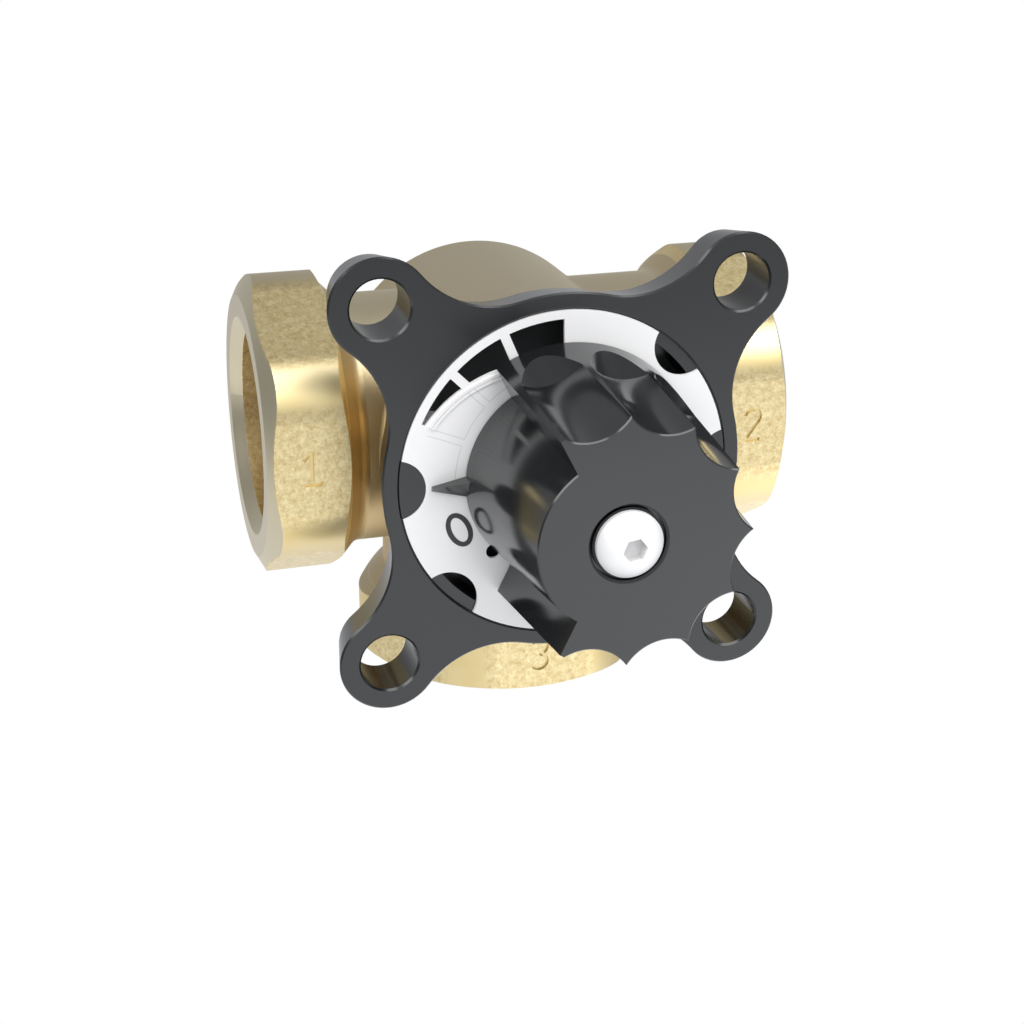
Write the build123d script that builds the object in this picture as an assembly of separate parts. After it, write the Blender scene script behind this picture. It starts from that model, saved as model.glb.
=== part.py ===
"""Three-way mixing valve with a hand knob, one STEP file for each piece.

Millimetres, +Z up. The origin is on the ground under the middle of the valve, which stands on
the face of port 3. The stem runs along Y with the knob towards -Y, and ports 1 and 2 open
towards -X and +X. Each piece is modelled with the stem on the Y axis and the ports at y = 0,
then moved to its place.
"""

import math
import os

from build123d import *

# Ports and necks of the casting
AXIS_HEIGHT = 41.0
HUB_ACROSS_FLATS = 44.0
HUB_CORNER_ROUND = 10.0
HUB_CORNER_LIFT = 2.5
HUB_REAR_ROUND = 2.0
MOUTH_INSET = 1.6
CONE_PITCH = 0.52
HUB_CLEARANCE = 6.14
NECK_STEP = 3.2
NECK_LENGTH = 3.64
NECK_ROUND = 2.0
THREAD_RADIUS = 15.2
THREAD_DEPTH = 17.0
MOUTH_CHAMFER_RADIUS = 17.0
PASSAGE_RADIUS = 12.5
NUMERAL_HEIGHT = 5.0
NUMERAL_STROKE = 0.55
NUMERAL_DEPTH = 0.35
NUMERAL_DISTANCE = 34.6

# Barrel of the casting, with y measured from the port axis
BARREL_RADIUS = 22.66
BARREL_FRONT = -26.2
BARREL_REAR = 18.3
BARREL_ROUND = 1.0
INNER_CORNER_ROUND = 1.5
BARREL_WALL = 5.16
CHAMBER_REAR = 13.6
BUSH_POCKET_RADIUS = 6.5
BUSH_POCKET_REAR = 17.0

# Fits and clearances
RUNNING_FIT = 0.05
SEAL_BORE_FIT = 0.08
SEAT_GAP = 0.02
ROTOR_GAP = 0.4
DISC_GAP = 0.06
KNOB_GAP = 0.55

# Cover with its four lugs
COVER_FRONT = -34.4
COVER_RIM = 2.5
COVER_DRAFT = 1.5
COVER_EDGE_BEVEL = 0.3
LUG_SPACING = 53.03
LUG_RADIUS = 7.4
LUG_HOLE_RADIUS = 4.25
LUG_WEB_ROUND = 14.0
SEAT_DEPTH = 0.5
LEDGE_WIDTH = 1.6
RECESS_FLOOR = -28.9
BOSS_RADIUS = 10.0
SPIGOT_CLEARANCE = 0.1
SPIGOT_REAR = -17.0
SPIGOT_WALL = 3.0
SPIGOT_HUB_RADIUS = 9.5
SPIGOT_CORE_FLOOR = -24.0
SEAL_GROOVE_DEPTH = 1.7
SEAL_GROOVE_WIDTH = 2.2
SEAL_GROOVE_Y = -20.4

# Cover screws
COVER_SCREW_INSET = 2.76
COVER_SCREW_ANGLE = 70.0
COVER_SCREW_RADIUS = 1.5
COVER_SCREW_HEAD_RADIUS = 2.75
COVER_SCREW_HEAD_HEIGHT = 3.0
COVER_SCREW_HEAD_SPACE = 0.25
COVER_SCREW_LENGTH = 11.0
COVER_SCREW_SOCKET = 2.5
COVER_SCREW_COUNT = 4

# Scale disc
NOTCH_RADIUS = 4.45
NOTCH_OUTSET = 0.6
OPEN_NOTCH_ANGLE = 45.0
DISC_BORE_RADIUS = 8.0
WINDOW_RIM = 1.35
WINDOW_START = 90.6
WINDOW_END = 155.8
WINDOW_START_WIDTH = 6.75
WINDOW_END_WIDTH = 0.55
WINDOW_BAR_WIDTH = 1.35
WINDOW_STEPS = 6
FIRST_BAR_ANGLE = 112.8
SECOND_BAR_ANGLE = 135.1
SMALL_HOLE_RADIUS = 1.1
SMALL_HOLE_INSET = 9.2
SMALL_HOLE_ANGLE = 225.0

# Knob
KNOB_FRONT = -61.87
KNOB_TIP_RADIUS = 17.6
KNOB_BASE_RADIUS = 19.85
KNOB_CORE_FRONT_RADIUS = 12.6
KNOB_CORE_BASE_RADIUS = 15.0
KNOB_WALL = 2.4
KNOB_FRONT_WALL = 4.4
KNOB_HUB_RADIUS = 9.6
KNOB_EDGE_BEVEL = 0.2
KNOB_HOLLOW_DRAFT = 0.4
FLUTE_RADIUS = 6.9
FLUTE_PITCH = 30.0
FLUTE_COUNT = 8
FIRST_FLUTE_ANGLE = -105.0
FLUTE_BEND_RADIUS = 23.78
FLUTE_BEND_Y = -44.63
FLUTE_DRAFT_ANGLE = 5.1
FLUTE_EXIT_ANGLE = 27.8
FLUTE_RUN = 21.0
RIB_INNER_X = -7.2
RIB_INNER_Z = 10.45
RIB_OUTER_ANGLE = 122.3
POINTER_TIP_RADIUS = 20.0
POINTER_HEIGHT = 3.0
POINTER_TIP_HEIGHT = 0.9
POINTER_TOP_Z = 1.6
POINTER_LOW_Z = -2.0
POINTER_TIP_HALF = 0.35

# Knob screw, washer and adapter
KNOB_SCREW_RADIUS = 2.5
KNOB_SCREW_HEAD_RADIUS = 4.65
KNOB_SCREW_HEAD_HEIGHT = 2.88
KNOB_SCREW_RIM = 0.7
KNOB_SCREW_CROWN_SLOPE = 0.3
KNOB_SCREW_CROWN_RADIUS = 2.1
KNOB_SCREW_LENGTH = 20.0
KNOB_SCREW_SOCKET = 3.0
KNOB_SCREW_SOCKET_DEPTH = 1.7
KNOB_SCREW_SOCKET_TURN = 8.0
SCREW_RECESS_RADIUS = 5.3
SCREW_RECESS_BEVEL = 0.35
SCREW_RECESS_DEPTH = 1.2
WASHER_RADIUS = 5.0
WASHER_THICKNESS = 0.8
ADAPTER_SIDE = 11.0
ADAPTER_ROUND = 1.0
ADAPTER_FRONT = -45.5
ADAPTER_REAR = -35.3

# Stem
STEM_RADIUS = 5.0
STEM_PIVOT_RADIUS = 4.0
STEM_REAR = 16.7
STEM_SHOULDER = 13.3
STEM_SQUARE = 7.0
STEM_SQUARE_START = -35.0
STEM_FRONT = -49.0
STEM_TAP_DEPTH = 9.0
STEM_GROOVE_RADIUS = 3.6
STEM_GROOVE_WIDTH = 1.7
INNER_SEAL_Y = -24.3
OUTER_SEAL_Y = -28.6
CLIP_GROOVE_RADIUS = 4.2
CLIP_THICKNESS = 0.7
CLIP_RADIUS = 6.8
CLIP_REAR = -34.0
CLIP_OPENING_ANGLE = 70.0

# Rotor
ROTOR_FRONT = -16.2
ROTOR_REAR = 13.2
ROTOR_DISC_THICKNESS = 3.2
ROTOR_ARM_THICKNESS = 2.3
ROTOR_WALL = 2.8
ROTOR_SPAN_ANGLE = 104.0
ROTOR_HUB_RADIUS = 7.0
ROTOR_FRONT_HUB_END = -9.4
ROTOR_REAR_HUB_START = 8.6
PIN_RADIUS = 1.1
PIN_Y = -11.3

# Bushes, washer and seals
FRONT_BUSH_LENGTH = 4.5
THRUST_WASHER_RADIUS = 9.0
THRUST_WASHER_THICKNESS = 0.7
STEM_SEAL_SECTION = 0.7
COVER_SEAL_SECTION = 0.86

# Sizes that follow from the ones above
STEM_AXIS = Axis.Y
HUB_OUTER_RADIUS = HUB_ACROSS_FLATS / 2 + HUB_CORNER_LIFT
MOUTH_RADIUS = HUB_ACROSS_FLATS / 2 - MOUTH_INSET
HUB_INNER_END = BARREL_RADIUS + HUB_CLEARANCE
NECK_START = BARREL_RADIUS + NECK_LENGTH
NECK_RADIUS = BARREL_RADIUS - NECK_STEP
CHAMBER_RADIUS = BARREL_RADIUS - BARREL_WALL
COVER_SCREW_DISTANCE = BARREL_RADIUS - COVER_SCREW_INSET
LEDGE_RADIUS = COVER_SCREW_DISTANCE + COVER_SCREW_HEAD_RADIUS + COVER_SCREW_HEAD_SPACE
SEAT_RADIUS = LEDGE_RADIUS + LEDGE_WIDTH
COVER_RADIUS = SEAT_RADIUS + COVER_RIM
NOTCH_DISTANCE = SEAT_RADIUS + NOTCH_OUTSET
WINDOW_OUTER_RADIUS = SEAT_RADIUS - WINDOW_RIM
WINDOW_INNER_START = WINDOW_OUTER_RADIUS - WINDOW_START_WIDTH
WINDOW_INNER_END = WINDOW_OUTER_RADIUS - WINDOW_END_WIDTH
SEAT_FLOOR = COVER_FRONT + SEAT_DEPTH
KNOB_BASE = COVER_FRONT - KNOB_GAP
ROTOR_RADIUS = CHAMBER_RADIUS - ROTOR_GAP
SPIGOT_RADIUS = CHAMBER_RADIUS - SPIGOT_CLEARANCE
SPIGOT_WALL_RADIUS = SPIGOT_RADIUS - SPIGOT_WALL
SEAL_GROOVE_RADIUS = SPIGOT_RADIUS - SEAL_GROOVE_DEPTH
KNOB_RECESS_FLOOR = KNOB_FRONT + SCREW_RECESS_DEPTH
SCREW_SEAT = KNOB_RECESS_FLOOR - WASHER_THICKNESS
SCREW_CROWN_Y = SCREW_SEAT - KNOB_SCREW_HEAD_HEIGHT
FRAME_SHIFT = -(SCREW_CROWN_Y + HUB_ACROSS_FLATS / 2) / 2
FAR = 60.0


def turned(*corners):
    """Solid turned about the stem from (radius, y) corners."""
    return revolve(make_face(Polyline(*corners, close=True)), STEM_AXIS)


def ring(inner, outer, front, rear):
    """Plain ring about the stem."""
    return turned((inner, front), (outer, front), (outer, rear), (inner, rear))


def disc(radius, front, rear):
    """Plain disc about the stem."""
    return ring(0, radius, front, rear)


def facing(y):
    """Sketch plane at this y, seen from the knob side with X right and Z up."""
    return Plane(origin=(0, y, 0), x_dir=(1, 0, 0), z_dir=(0, -1, 0))


def prism(sketch, front, rear):
    """Sketch drawn as seen from the front, made solid between two y values."""
    return extrude(facing(rear) * sketch, amount=rear - front)


def polar(radius, angle):
    """Point of a front-view sketch at this radius and angle from +X."""
    return (radius * math.cos(math.radians(angle)), radius * math.sin(math.radians(angle)))


def turn_about_stem(shape, angle):
    """Shape turned about the stem, counted from +X towards +Z."""
    return Rot(0, -angle, 0) * shape


def o_ring(radius, section, y):
    """O-ring about the stem with this middle radius."""
    return Pos(0, y, 0) * Rot(90, 0, 0) * Torus(radius, section)


def placed(shape):
    """Shape moved from the stem axis to its place in the valve."""
    return Pos(0, FRAME_SHIFT, AXIS_HEIGHT) * shape


def port_blank():
    """Hexagonal hub and neck of port 1, along -X."""
    corner_lift = HUB_OUTER_RADIUS - MOUTH_RADIUS
    rim = HUB_OUTER_RADIUS - HUB_ACROSS_FLATS / 2
    profile = Polyline(
        (0, 0),
        (-AXIS_HEIGHT, 0),
        (-AXIS_HEIGHT, MOUTH_RADIUS),
        (-AXIS_HEIGHT + CONE_PITCH * corner_lift, HUB_OUTER_RADIUS),
        (-HUB_INNER_END - CONE_PITCH * rim, HUB_OUTER_RADIUS),
        (-HUB_INNER_END, HUB_ACROSS_FLATS / 2),
        (-NECK_START, NECK_RADIUS),
        (0, NECK_RADIUS),
        close=True,
    )
    face = make_face(profile)
    hollow = face.vertices().sort_by_distance((-NECK_START, NECK_RADIUS, 0))[0]
    face = fillet(hollow, NECK_ROUND)
    shoulder = face.vertices().sort_by_distance((-HUB_INNER_END - CONE_PITCH * rim, HUB_OUTER_RADIUS, 0))[0]
    round_part = revolve(fillet(shoulder, HUB_REAR_ROUND), Axis.X)
    hexagon = RegularPolygon(HUB_ACROSS_FLATS / 2, 6, major_radius=False, rotation=30)
    hexagon = fillet(hexagon.vertices(), HUB_CORNER_ROUND)
    bar = extrude(Plane.YZ.offset(-AXIS_HEIGHT) * hexagon, amount=AXIS_HEIGHT - NECK_START)
    sleeve = extrude(Plane.YZ.offset(-NECK_START) * Circle(HUB_OUTER_RADIUS), amount=NECK_START)
    return (bar + sleeve) & round_part


def port_bore():
    """Hollow of port 1: mouth chamfer, threaded length and passage."""
    chamfer = MOUTH_CHAMFER_RADIUS - THREAD_RADIUS
    profile = Polyline(
        (0, 0),
        (-AXIS_HEIGHT, 0),
        (-AXIS_HEIGHT, MOUTH_CHAMFER_RADIUS),
        (-AXIS_HEIGHT + chamfer, THREAD_RADIUS),
        (-AXIS_HEIGHT + THREAD_DEPTH, THREAD_RADIUS),
        (-AXIS_HEIGHT + THREAD_DEPTH, PASSAGE_RADIUS),
        (0, PASSAGE_RADIUS),
        close=True,
    )
    return revolve(make_face(profile), Axis.X)


def at_ports(shape):
    """The shape made for port 1, at all three ports."""
    return [shape, Rot(0, 180, 0) * shape, Rot(0, -90, 0) * shape]


def numeral_strokes(digit):
    """Centre lines of a plain numeral, about its own middle."""
    half = NUMERAL_HEIGHT / 2
    bowl = NUMERAL_HEIGHT / 4
    if digit == 1:
        stroke = Line((0, -half), (0, half))
        flag = Line((0, half), (-bowl, half - bowl))
        foot = Line((-bowl, -half), (bowl, -half))
        return [stroke, flag, foot]
    if digit == 2:
        top = CenterArc((0, half - bowl), bowl, -30, 200)
        slope = Line(top @ 0, (-bowl, -half))
        foot = Line((-bowl, -half), (bowl, -half))
        return [top, slope, foot]
    upper = CenterArc((0, half - bowl), bowl, -90, 240)
    lower = CenterArc((0, bowl - half), bowl, 210, 240)
    return [upper, lower]


def numeral_cuts():
    """Shallow engravings 1, 2 and 3 on the front flats of the hubs."""
    flat = facing(-HUB_ACROSS_FLATS / 2)
    places = {1: (-NUMERAL_DISTANCE, 0), 2: (NUMERAL_DISTANCE, 0), 3: (0, -NUMERAL_DISTANCE)}
    cuts = []
    for digit, (x, z) in places.items():
        figure = Sketch() + [trace(stroke, NUMERAL_STROKE) for stroke in numeral_strokes(digit)]
        cuts.append(extrude(flat * Pos(x, z) * figure, amount=-NUMERAL_DEPTH))
    return cuts


def cover_screw_places():
    """Points of the cover screws in the front view."""
    step = 360 / COVER_SCREW_COUNT
    return [polar(COVER_SCREW_DISTANCE, COVER_SCREW_ANGLE + step * i) for i in range(COVER_SCREW_COUNT)]


def on_barrel(point):
    """Whether the point lies on the barrel where a neck meets it."""
    off_surface = abs(math.hypot(point.X, point.Z) - BARREL_RADIUS)
    return off_surface < SEAT_GAP and abs(point.Y) < NECK_RADIUS + SEAT_GAP


def on_mitre(point):
    """Whether the point lies where the neck of port 3 meets a side neck."""
    return abs(abs(point.X) + point.Z) < SEAT_GAP and math.hypot(point.X, point.Z) > BARREL_RADIUS - SEAT_GAP


def inner_corners(body):
    """Edges where the necks meet the barrel and each other."""
    chosen = []
    for edge in body.edges().filter_by(GeomType.CIRCLE, reverse=True):
        points = [edge.position_at(part) for part in (0.1, 0.5, 0.9)]
        if all(map(on_barrel, points)) or all(map(on_mitre, points)):
            chosen.append(edge)
    return chosen


def valve_body():
    """One brass casting: barrel, three necks and three hexagonal ports."""
    outline = Polyline(
        (0, BARREL_FRONT),
        (BARREL_RADIUS, BARREL_FRONT),
        (BARREL_RADIUS, BARREL_REAR),
        (0, BARREL_REAR),
        close=True,
    )
    face = make_face(outline)
    rim = face.vertices().sort_by_distance((BARREL_RADIUS, BARREL_REAR, 0))[0]
    body = revolve(fillet(rim, BARREL_ROUND), STEM_AXIS)
    body += at_ports(port_blank())
    body = fillet(inner_corners(body), INNER_CORNER_ROUND)
    body -= disc(CHAMBER_RADIUS, BARREL_FRONT, CHAMBER_REAR)
    body -= disc(BUSH_POCKET_RADIUS, 0, BUSH_POCKET_REAR)
    body -= at_ports(port_bore())
    for x, z in cover_screw_places():
        hole = Pos(x, z) * Circle(COVER_SCREW_RADIUS + SEAT_GAP)
        body -= prism(hole, BARREL_FRONT, RECESS_FLOOR + COVER_SCREW_LENGTH + 1)
    body -= numeral_cuts()
    return body


def lug_outline():
    """Front outline of the cover: a round middle and four lugs with hollow webs."""
    reach = COVER_RADIUS + LUG_WEB_ROUND
    lug_reach = LUG_RADIUS + LUG_WEB_ROUND
    diagonal = LUG_SPACING / math.sqrt(2)
    cosine = (reach**2 + diagonal**2 - lug_reach**2) / (2 * reach * diagonal)
    spread = math.degrees(math.acos(cosine))
    outline = Circle(COVER_RADIUS)
    for angle in (45, 135, 225, 315):
        lug = polar(diagonal, angle)
        hollows = [polar(reach, angle - spread), polar(reach, angle + spread)]
        web = make_face(Polyline((0, 0), hollows[0], lug, hollows[1], close=True))
        outline += web + Pos(*lug) * Circle(LUG_RADIUS)
    for angle in (45, 135, 225, 315):
        for side in (-spread, spread):
            outline -= Pos(*polar(reach, angle + side)) * Circle(LUG_WEB_ROUND)
    return outline


def lug_places():
    """Points of the lug holes in the front view."""
    half = LUG_SPACING / 2
    return [(x, z) for x in (-half, half) for z in (-half, half)]


def cover_plate():
    """Drafted plate of the cover, with bevelled front edges."""
    depth = BARREL_FRONT - COVER_FRONT
    taper = math.degrees(math.atan(COVER_DRAFT / depth))
    plate = extrude(facing(COVER_FRONT) * lug_outline(), amount=-depth, taper=taper)
    for x, z in lug_places():
        plate -= prism(Pos(x, z) * Circle(LUG_HOLE_RADIUS), COVER_FRONT, BARREL_FRONT)
    plate -= disc(SEAT_RADIUS, COVER_FRONT, SEAT_FLOOR)
    front = plate.edges().group_by(Axis.Y)[0]
    return chamfer(front, COVER_EDGE_BEVEL)


def cover_key(side):
    """Key that fills a notch of the disc, on one side of the seat."""
    key = Pos(side * NOTCH_DISTANCE, 0) * Circle(NOTCH_RADIUS - DISC_GAP)
    return prism(key & Circle(SEAT_RADIUS + DISC_GAP), COVER_FRONT, RECESS_FLOOR)


def front_cover():
    """Moulded cover: lugs, disc seat, recess, boss, spigot and stem bore."""
    cover = cover_plate()
    cover -= ring(BOSS_RADIUS, LEDGE_RADIUS, COVER_FRONT, RECESS_FLOOR)
    cover += [cover_key(-1), cover_key(1)]
    cover += disc(SPIGOT_RADIUS, BARREL_FRONT - 1, SPIGOT_REAR)
    cover -= ring(SPIGOT_HUB_RADIUS, SPIGOT_WALL_RADIUS, SPIGOT_CORE_FLOOR, SPIGOT_REAR)
    half = SEAL_GROOVE_WIDTH / 2
    cover -= ring(SEAL_GROOVE_RADIUS, FAR, SEAL_GROOVE_Y - half, SEAL_GROOVE_Y + half)
    cover -= disc(STEM_RADIUS + SEAL_BORE_FIT, COVER_FRONT, SPIGOT_REAR)
    cover -= disc(BUSH_POCKET_RADIUS, SPIGOT_REAR - FRONT_BUSH_LENGTH, SPIGOT_REAR)
    for x, z in cover_screw_places():
        hole = Pos(x, z) * Circle(COVER_SCREW_RADIUS + SEAL_BORE_FIT)
        cover -= prism(hole, RECESS_FLOOR, BARREL_FRONT)
    return cover


def window_outline():
    """Curved window that widens towards the top of the disc."""
    span = WINDOW_END - WINDOW_START
    grow = (WINDOW_INNER_END - WINDOW_INNER_START) / span
    angles = [WINDOW_START + span * i / WINDOW_STEPS for i in range(WINDOW_STEPS + 1)]
    inner = Spline(*[polar(WINDOW_INNER_START + grow * (a - WINDOW_START), a) for a in angles])
    outer = CenterArc((0, 0), WINDOW_OUTER_RADIUS, WINDOW_START, span)
    ends = Line(inner @ 0, outer @ 0) + Line(inner @ 1, outer @ 1)
    return make_face(inner + outer + ends)


def window_bar(angle):
    """Bar across the window."""
    length = WINDOW_OUTER_RADIUS - WINDOW_INNER_START + 1
    middle = (WINDOW_OUTER_RADIUS + WINDOW_INNER_START) / 2
    return Pos(*polar(middle, angle)) * Rot(0, 0, angle) * Rectangle(length, WINDOW_BAR_WIDTH)


def scale_disc():
    """White disc with its window, notches and small hole."""
    sheet = Circle(SEAT_RADIUS - DISC_GAP) - Circle(DISC_BORE_RADIUS)
    for angle in (0, OPEN_NOTCH_ANGLE, 180, 180 + OPEN_NOTCH_ANGLE):
        sheet -= Pos(*polar(NOTCH_DISTANCE, angle)) * Circle(NOTCH_RADIUS)
    sheet -= window_outline()
    sheet += [window_bar(FIRST_BAR_ANGLE), window_bar(SECOND_BAR_ANGLE)]
    sheet -= Pos(*polar(SEAT_RADIUS - SMALL_HOLE_INSET, SMALL_HOLE_ANGLE)) * Circle(SMALL_HOLE_RADIUS)
    return prism(sheet, COVER_FRONT, SEAT_FLOOR)


def flute_cutter():
    """Tool for one flute: it follows the taper, then runs out over the base."""
    bend = (FLUTE_BEND_RADIUS, FLUTE_BEND_Y)
    draft = math.radians(FLUTE_DRAFT_ANGLE)
    leave = math.radians(FLUTE_EXIT_ANGLE)
    start = (bend[0] - FLUTE_RUN * math.sin(draft), bend[1] - FLUTE_RUN * math.cos(draft))
    end = (bend[0] + FLUTE_RUN * math.sin(leave), bend[1] + FLUTE_RUN * math.cos(leave))
    path = Polyline(start, bend, end)
    section = Plane(origin=path @ 0, z_dir=path % 0) * Circle(FLUTE_RADIUS)
    return sweep(section, path=path, transition=Transition.RIGHT)


def flute_rim():
    """Tool that bevels the front edge of one flute."""
    draft = math.tan(math.radians(FLUTE_DRAFT_ANGLE))
    middle = FLUTE_BEND_RADIUS - (FLUTE_BEND_Y - KNOB_FRONT) * draft
    bevel = Cone(FLUTE_RADIUS + 2 * KNOB_EDGE_BEVEL, FLUTE_RADIUS, 2 * KNOB_EDGE_BEVEL)
    return Pos(middle, KNOB_FRONT, 0) * Rot(-90, 0, 0) * bevel


def smooth_sector():
    """Block that clears the flutes from the pointer side, between the two ribs."""
    outer = polar(KNOB_TIP_RADIUS, RIB_OUTER_ANGLE)
    run = (outer[0] - RIB_INNER_X, outer[1] - RIB_INNER_Z)
    inside = (RIB_INNER_X - run[0] / 2, RIB_INNER_Z - run[1] / 2)
    beyond = (outer[0] + 3 * run[0], outer[1] + 3 * run[1])
    upper = [inside, beyond, (-FAR, beyond[1])]
    lower = [(x, -z) for x, z in reversed(upper)]
    return prism(make_face(Polyline(*upper, *lower, close=True)), KNOB_FRONT - 1, KNOB_BASE + 1)


def pointer_tab():
    """Small tapering tab that points at the scale."""
    root = make_face(Polyline(
        (KNOB_BASE, POINTER_LOW_Z),
        (KNOB_BASE, POINTER_TOP_Z),
        (KNOB_BASE - POINTER_HEIGHT, POINTER_TOP_Z),
        close=True,
    ))
    tip = make_face(Polyline(
        (KNOB_BASE, -POINTER_TIP_HALF),
        (KNOB_BASE, POINTER_TIP_HALF),
        (KNOB_BASE - POINTER_TIP_HEIGHT, POINTER_TIP_HALF),
        close=True,
    ))
    start = KNOB_CORE_BASE_RADIUS - KNOB_WALL / 2
    return loft([Plane.YZ.offset(-start) * root, Plane.YZ.offset(-POINTER_TIP_RADIUS) * tip])


def bevelled_cone(front_radius, base_radius):
    """Solid taper of the knob with a bevelled front edge."""
    return turned(
        (0, KNOB_FRONT),
        (front_radius - KNOB_EDGE_BEVEL, KNOB_FRONT),
        (front_radius, KNOB_FRONT + KNOB_EDGE_BEVEL),
        (base_radius, KNOB_BASE),
        (0, KNOB_BASE),
    )


def screw_recess():
    """Round recess for the screw head, with a bevelled lip."""
    return turned(
        (0, KNOB_FRONT),
        (SCREW_RECESS_RADIUS + SCREW_RECESS_BEVEL, KNOB_FRONT),
        (SCREW_RECESS_RADIUS, KNOB_FRONT + SCREW_RECESS_BEVEL),
        (SCREW_RECESS_RADIUS, KNOB_RECESS_FLOOR),
        (0, KNOB_RECESS_FLOOR),
    )


def knob():
    """Moulded knob: fluted grip, smooth sector, pointer tab, hub and hollow."""
    grip = bevelled_cone(KNOB_TIP_RADIUS, KNOB_BASE_RADIUS)
    for i in range(FLUTE_COUNT):
        grip -= turn_about_stem(flute_cutter() + flute_rim(), FIRST_FLUTE_ANGLE + FLUTE_PITCH * i)
    grip -= smooth_sector()
    body = grip + bevelled_cone(KNOB_CORE_FRONT_RADIUS, KNOB_CORE_BASE_RADIUS) + pointer_tab()
    body -= turned(
        (KNOB_HUB_RADIUS, KNOB_BASE),
        (KNOB_CORE_BASE_RADIUS - KNOB_WALL, KNOB_BASE),
        (KNOB_CORE_FRONT_RADIUS - KNOB_WALL + KNOB_HOLLOW_DRAFT, KNOB_FRONT + KNOB_FRONT_WALL),
        (KNOB_HUB_RADIUS, KNOB_FRONT + KNOB_FRONT_WALL),
    )
    socket = fillet(Rectangle(ADAPTER_SIDE, ADAPTER_SIDE).vertices(), ADAPTER_ROUND)
    body -= prism(offset(socket, SEAT_GAP), ADAPTER_FRONT, KNOB_BASE)
    body -= disc(STEM_RADIUS + SEAL_BORE_FIT, STEM_FRONT - 1, KNOB_BASE)
    body -= disc(KNOB_SCREW_RADIUS + SEAL_BORE_FIT, KNOB_FRONT, KNOB_BASE)
    return body - screw_recess()


def hex_socket(across_flats, turn):
    """Sketch of a hexagonal key socket."""
    return Rot(0, 0, turn) * RegularPolygon(across_flats / 2, 6, major_radius=False)


def knob_screw():
    """Button-head screw that holds the knob on the stem."""
    top = SCREW_CROWN_Y
    rim = (KNOB_SCREW_HEAD_RADIUS, SCREW_SEAT - KNOB_SCREW_RIM)
    crown = (KNOB_SCREW_CROWN_RADIUS, top)
    dome = TangentArc(crown, rim, tangent=(1, KNOB_SCREW_CROWN_SLOPE))
    lines = Polyline(rim, (KNOB_SCREW_HEAD_RADIUS, SCREW_SEAT), (0, SCREW_SEAT), (0, top), crown)
    head = revolve(make_face(dome + lines), STEM_AXIS)
    shank = disc(KNOB_SCREW_RADIUS, SCREW_SEAT, SCREW_SEAT + KNOB_SCREW_LENGTH)
    socket = hex_socket(KNOB_SCREW_SOCKET, KNOB_SCREW_SOCKET_TURN)
    return head + shank - prism(socket, top, top + KNOB_SCREW_SOCKET_DEPTH)


def knob_washer():
    """Plain washer under the screw head."""
    return ring(KNOB_SCREW_RADIUS + SEAL_BORE_FIT, WASHER_RADIUS, SCREW_SEAT, KNOB_RECESS_FLOOR)


def knob_adapter():
    """Square sleeve between the stem and the knob."""
    outer = fillet(Rectangle(ADAPTER_SIDE, ADAPTER_SIDE).vertices(), ADAPTER_ROUND)
    inner = Rectangle(STEM_SQUARE + 2 * SEAT_GAP, STEM_SQUARE + 2 * SEAT_GAP)
    return prism(outer - inner, ADAPTER_FRONT, ADAPTER_REAR)


def groove(y, width, radius):
    """Ring of metal taken from the stem by a groove."""
    return ring(radius, FAR, y - width / 2, y + width / 2)


def stem():
    """Turned spindle with a square end, grooves and a rear pivot."""
    spindle = turned(
        (0, STEM_SQUARE_START),
        (STEM_RADIUS, STEM_SQUARE_START),
        (STEM_RADIUS, STEM_SHOULDER),
        (STEM_PIVOT_RADIUS, STEM_SHOULDER),
        (STEM_PIVOT_RADIUS, STEM_REAR),
        (0, STEM_REAR),
    )
    spindle += prism(Rectangle(STEM_SQUARE, STEM_SQUARE), STEM_FRONT, STEM_SQUARE_START)
    spindle -= groove(INNER_SEAL_Y, STEM_GROOVE_WIDTH, STEM_GROOVE_RADIUS)
    spindle -= groove(OUTER_SEAL_Y, STEM_GROOVE_WIDTH, STEM_GROOVE_RADIUS)
    clip_middle = CLIP_REAR - CLIP_THICKNESS / 2
    spindle -= groove(clip_middle, CLIP_THICKNESS + 2 * SEAT_GAP, CLIP_GROOVE_RADIUS)
    spindle -= disc(KNOB_SCREW_RADIUS + SEAT_GAP, STEM_FRONT, STEM_FRONT + STEM_TAP_DEPTH)
    return spindle - pin_hole()


def pin_hole():
    """Cross hole for the rotor pin."""
    return Pos(0, PIN_Y, 0) * Cylinder(PIN_RADIUS + SEAT_GAP, 2 * ROTOR_RADIUS)


def rotor_pin():
    """Cross pin between the rotor and the stem."""
    return Pos(0, PIN_Y, 0) * Cylinder(PIN_RADIUS, 2 * ROTOR_HUB_RADIUS - 1)


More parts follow.
